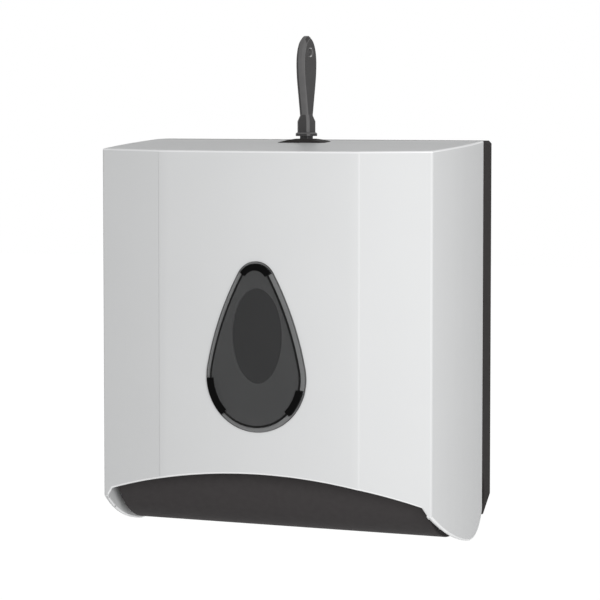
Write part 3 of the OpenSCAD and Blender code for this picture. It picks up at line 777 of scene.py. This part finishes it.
def is_over_tab(angle, at_edge):
    """Whether a snap tab shows through the rim after an angle, there or at its outer edge."""
    inside = math.degrees(angle) + INTO_FACE
    for middle, reach, to_edge in TABS:
        if abs(inside - middle) < reach and (to_edge or not at_edge):
            return True
    return False


def snap_tabs(seat_y):
    """Mesh of the window's snap tabs, cut off at the seat."""
    bm = welded("level_window")
    geometry = list(bm.verts) + list(bm.edges) + list(bm.faces)
    plane = (0, seat_y + TAB_FOOT, 0)
    bmesh.ops.bisect_plane(
        bm, geom=geometry, plane_co=plane, plane_no=(0, 1, 0), clear_inner=True
    )
    bmesh.ops.holes_fill(bm, edges=[edge for edge in bm.edges if edge.is_boundary])
    return bm


def lens_steps(look):
    """Inset, height and material of the closed lines that the window's front is made of."""
    rise = (look.depth - look.edge) / look.rim
    line_in = look.rim - look.line
    return (
        (0, look.seat_gap, LENS_EDGE),
        (0, look.edge - look.edge_round, LENS_EDGE),
        (look.edge_round, look.edge + rise * look.edge_round, LENS_RIM),
        (look.tab_start, look.edge + rise * look.tab_start, LENS_RIM),
        (line_in, look.edge + rise * line_in, LENS_GROOVE_SHADE),
        (look.rim, look.depth, LENS_FACE),
        (look.rim + look.tab_lap, look.depth, LENS_FACE),
    )


def lens_materials(look):
    """Materials of the window, in the order of their places."""
    rows = (
        ("smoked_face", look.tint, look.face_cover, look.face_gloss),
        # The sloping rim stops less light than the face, partly for its thinner plastic and partly as
        # painted light for the light that the bevel catches
        ("smoked_rim", look.tint, look.rim_cover, look.rim_gloss),
        # The dark line along the inside of the rim is nearly black: painted shade of a groove that is
        # not modelled
        ("smoked_groove_shade", look.tab_tint, look.line_cover, look.line_gloss),
        ("smoked_tab", look.tab_tint, 1, look.tab_gloss),
        ("smoked_rear", look.tint, look.rear_cover, 0),
        ("smoked_edge", look.tint, look.edge_cover, look.edge_gloss),
    )
    return [
        smoked_plastic(name, tint, look.roughness, cover, gloss) for name, tint, cover, gloss in rows
    ]


class DISPENSER_OT_window(bpy.types.Operator):
    """Make the smoked window with its sloping rim and snap tabs"""

    bl_idname = "dispenser.window"
    bl_label = "Window"

    def execute(self, context):
        look = context.scene.dispenser.window
        drop = Teardrop(look)
        angles = drop.angles()
        steps = lens_steps(look)
        bm = snap_tabs(drop.centre.y)
        for face in bm.faces:
            face.material_index = LENS_TAB
        rings = []
        for inset, height, _ in steps:
            rings.append(ring(bm, [drop.place(angle, inset, height) for angle in angles]))
        for lower, upper, (inset, _, index) in zip(rings, rings[1:], steps):
            for angle, face in zip(angles, band(bm, lower, upper)):
                is_dark = is_over_tab(angle, inset < look.tab_start)
                face.material_index = LENS_TAB if is_dark else index
        bm.faces.new(rings[-1]).material_index = LENS_FACE
        bm.faces.new(reversed(rings[0])).material_index = LENS_REAR
        bmesh.ops.recalc_face_normals(bm, faces=bm.faces)
        materials = lens_materials(look)
        even_shading(put(bm, "teardrop_lens", "level_window", materials))
        return {"FINISHED"}


# Hardware


def screw_body(bm, look, place, reach, radius):
    """Adds the sides and the tip of a screw, and gives the closed line around its head's face."""
    head = look.head_height
    shank = look.shank_radius
    outline = [(radius * across, head * down) for across, down in HEAD_OUTLINE]
    outline += [(shank, head), (shank, reach - shank / 2), (shank / 2, reach)]
    turns = [math.tau * i / SIDES for i in range(SIDES)]
    rings = []
    for across, depth in outline:
        points = [(across * math.cos(turn), across * math.sin(turn), depth) for turn in turns]
        rings.append(ring(bm, [place @ Vector(corner) for corner in points]))
    for lower, upper in zip(rings, rings[1:]):
        band(bm, lower, upper)
    bm.faces.new(rings[-1])
    return rings[0]


def cross_recess(bm, look, place, radius):
    """Adds the cross recess of a screw's head, and gives the closed line around its mouth."""
    rings = []
    for down, size in RECESS:
        arm = look.recess_reach * radius * size
        half = look.recess_width * radius * size
        points = []
        for i in range(4):
            turn = Matrix.Rotation(math.pi / 2 * i, 2)
            points += [turn @ Vector(corner) for corner in ((half, half), (half, arm), (-half, arm))]
        depth = down * look.head_height
        rings.append(ring(bm, [place @ Vector((*corner, depth)) for corner in points]))
    band(bm, rings[0], rings[1])
    bm.faces.new(rings[1])
    return rings[0]


def add_screw(bm, look, place, reach, radius):
    """Adds a pan head screw whose head faces down its own axis at a place."""
    lines = (screw_body(bm, look, place, reach, radius), cross_recess(bm, look, place, radius))
    rims = [bm.edges.get((line[i - 1], line[i])) for line in lines for i in range(len(line))]
    outward = place.to_3x3() @ Vector((0, 0, -1))
    bmesh.ops.triangle_fill(bm, use_beauty=True, edges=rims, normal=outward)


def make_screws(node, look, material):
    """Makes the piece that stands for the screws of a node."""
    copy = welded(node)
    bm = bmesh.new()
    for group in islands(copy):
        low = Vector([min(vert.co[i] for vert in group) for i in range(3)])
        high = Vector([max(vert.co[i] for vert in group) for i in range(3)])
        size = high - low
        middle = (low + high) / 2
        if node == "cam_screw":
            place = Matrix.Translation((middle.x, middle.y, low.z))
            add_screw(bm, look, place, size.z, size.x / 2)
        else:
            place = Matrix.Translation((middle.x, low.y, middle.z))
            add_screw(bm, look, place @ Matrix.Rotation(-math.pi / 2, 4, "X"), size.y, size.x / 2)
    copy.free()
    bmesh.ops.recalc_face_normals(bm, faces=bm.faces)
    even_shading(put(bm, "plated_" + node, node, [material]))


class DISPENSER_OT_hardware(bpy.types.Operator):
    """Make the plated hinge pins, screws, latch and cam"""

    bl_idname = "dispenser.hardware"
    bl_label = "Hardware"

    def execute(self, context):
        look = context.scene.dispenser.steel
        material = zinc_plating(look)
        wide = look.edge_round
        for row in frame["record"]["subparts"]:
            node = row["node"]
            if row["material_slot"] != "zinc_steel":
                continue
            if "screw" in node:
                make_screws(node, look, material)
            else:
                dress(node, "plated_" + node, [material], wide, wide)
        return {"FINISHED"}


# Stage


def seen_directly(tree):
    """Output that is one for what the camera sees, also in gloss and through clear parts."""
    path = tree.nodes.new("ShaderNodeLightPath")
    total = path.outputs["Is Camera Ray"]
    for ray in ("Is Glossy Ray", "Is Transmission Ray"):
        most = tree.nodes.new("ShaderNodeMath")
        most.operation = "MAXIMUM"
        tree.links.new(total, most.inputs[0])
        tree.links.new(path.outputs[ray], most.inputs[1])
        total = most.outputs[0]
    return total


def show_where_seen(tree, lit, seen, output, level):
    """Gives an output one shader for the light and, up to a level, another one where it is seen."""
    amount = tree.nodes.new("ShaderNodeMath")
    amount.operation = "MULTIPLY"
    amount.inputs[1].default_value = level
    tree.links.new(seen_directly(tree), amount.inputs[0])
    mix = tree.nodes.new("ShaderNodeMixShader")
    tree.links.new(amount.outputs[0], mix.inputs["Fac"])
    tree.links.new(lit.outputs[0], mix.inputs[1])
    tree.links.new(seen.outputs[0], mix.inputs[2])
    tree.links.new(mix.outputs[0], output.inputs["Surface"])


def white_world(look):
    """World that is white where it is seen and a plain level of light elsewhere."""
    world = bpy.data.worlds.new("studio")
    world.use_nodes = True
    bpy.context.scene.world = world
    tree = world.node_tree
    soft = tree.nodes["Background"]
    plain = tree.nodes.new("ShaderNodeBackground")
    for light, strength in ((soft, look.ambient), (plain, 1)):
        light.inputs["Color"].default_value = (1, 1, 1, 1)
        light.inputs["Strength"].default_value = strength
    show_where_seen(tree, soft, plain, tree.nodes["World Output"], 1)


def pale_floor(look):
    """Floor that looks white and keeps a faint shadow."""
    half = look.floor_size / 2
    mesh = bpy.data.meshes.new("floor")
    corners = [(-half, -half, 0), (half, -half, 0), (half, half, 0), (-half, half, 0)]
    mesh.from_pydata(corners, [], [(0, 1, 2, 3)])
    floor = bpy.data.objects.new("floor", mesh)
    floor.location.z = frame_box[0].z - look.floor_drop
    bpy.context.scene.collection.objects.link(floor)
    made, tree, shader = new_material("floor_white")
    shader.inputs["Base Color"].default_value = (*look.floor_tint, 1)
    shader.inputs["Specular IOR Level"].default_value = 0
    glow = tree.nodes.new("ShaderNodeEmission")
    glow.inputs["Strength"].default_value = look.floor_glow
    show_where_seen(tree, shader, glow, tree.nodes["Material Output"], look.floor_share)
    mesh.materials.append(made)


def key_light(look):
    """Soft square light that points at the object."""
    lamp = bpy.data.lights.new("key_light", "AREA")
    lamp.energy = look.light_power
    lamp.size = look.light_size
    light = bpy.data.objects.new("key_light", lamp)
    light.location = look.light_place
    ahead = Vector(look.light_target) - Vector(look.light_place)
    light.rotation_euler = ahead.to_track_quat("-Z", "Y").to_euler()
    bpy.context.scene.collection.objects.link(light)


def photo_camera(look):
    """Camera at the photograph's viewing angle."""
    data = bpy.data.cameras.new("camera")
    data.lens = look.camera_lens
    camera = bpy.data.objects.new("camera", data)
    across = math.cos(look.camera_pitch)
    back = Vector((
        math.sin(look.camera_yaw) * across,
        -math.cos(look.camera_yaw) * across,
        math.sin(look.camera_pitch),
    ))
    camera.location = Vector(look.camera_target) + back * look.camera_distance
    camera.rotation_euler = (-back).to_track_quat("-Z", "Y").to_euler()
    bpy.context.scene.collection.objects.link(camera)
    bpy.context.scene.camera = camera


class DISPENSER_OT_stage(bpy.types.Operator):
    """Make the floor, the light and the camera"""

    bl_idname = "dispenser.stage"
    bl_label = "Stage"

    def execute(self, context):
        look = context.scene.dispenser.stage
        context.scene.view_settings.view_transform = "Standard"
        white_world(look)
        pale_floor(look)
        key_light(look)
        photo_camera(look)
        return {"FINISHED"}


# Add-on


class DISPENSER_PT_panel(bpy.types.Panel):
    """Lists what the dispenser is made of"""

    bl_label = "Dispenser"
    bl_idname = "DISPENSER_PT_panel"
    bl_space_type = "VIEW_3D"
    bl_region_type = "UI"
    bl_category = "Dispenser"

    def draw(self, context):
        for operator in OPERATORS:
            self.layout.operator(operator.bl_idname)


SETTINGS = (
    ShellSettings, DarkSettings, WindowSettings, KeySettings, SteelSettings, StageSettings,
    DispenserSettings,
)
OPERATORS = (
    DISPENSER_OT_stage, DISPENSER_OT_base, DISPENSER_OT_cover, DISPENSER_OT_window,
    DISPENSER_OT_lock, DISPENSER_OT_key, DISPENSER_OT_hardware,
)
CLASSES = (*SETTINGS, *OPERATORS, DISPENSER_PT_panel)


def register():
    """Makes the classes and the settings known."""
    for made in CLASSES:
        bpy.utils.register_class(made)
    bpy.types.Scene.dispenser = PointerProperty(type=DispenserSettings)


def unregister():
    """Takes the classes and the settings away again."""
    del bpy.types.Scene.dispenser
    for made in reversed(CLASSES):
        bpy.utils.unregister_class(made)


def main():
    """Makes the whole dispenser."""
    register()
    bpy.ops.dispenser.stage()
    bpy.ops.dispenser.base()
    bpy.ops.dispenser.cover()
    bpy.ops.dispenser.window()
    bpy.ops.dispenser.lock()
    bpy.ops.dispenser.key()
    bpy.ops.dispenser.hardware()
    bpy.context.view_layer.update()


if __name__ == "__main__":
    main()
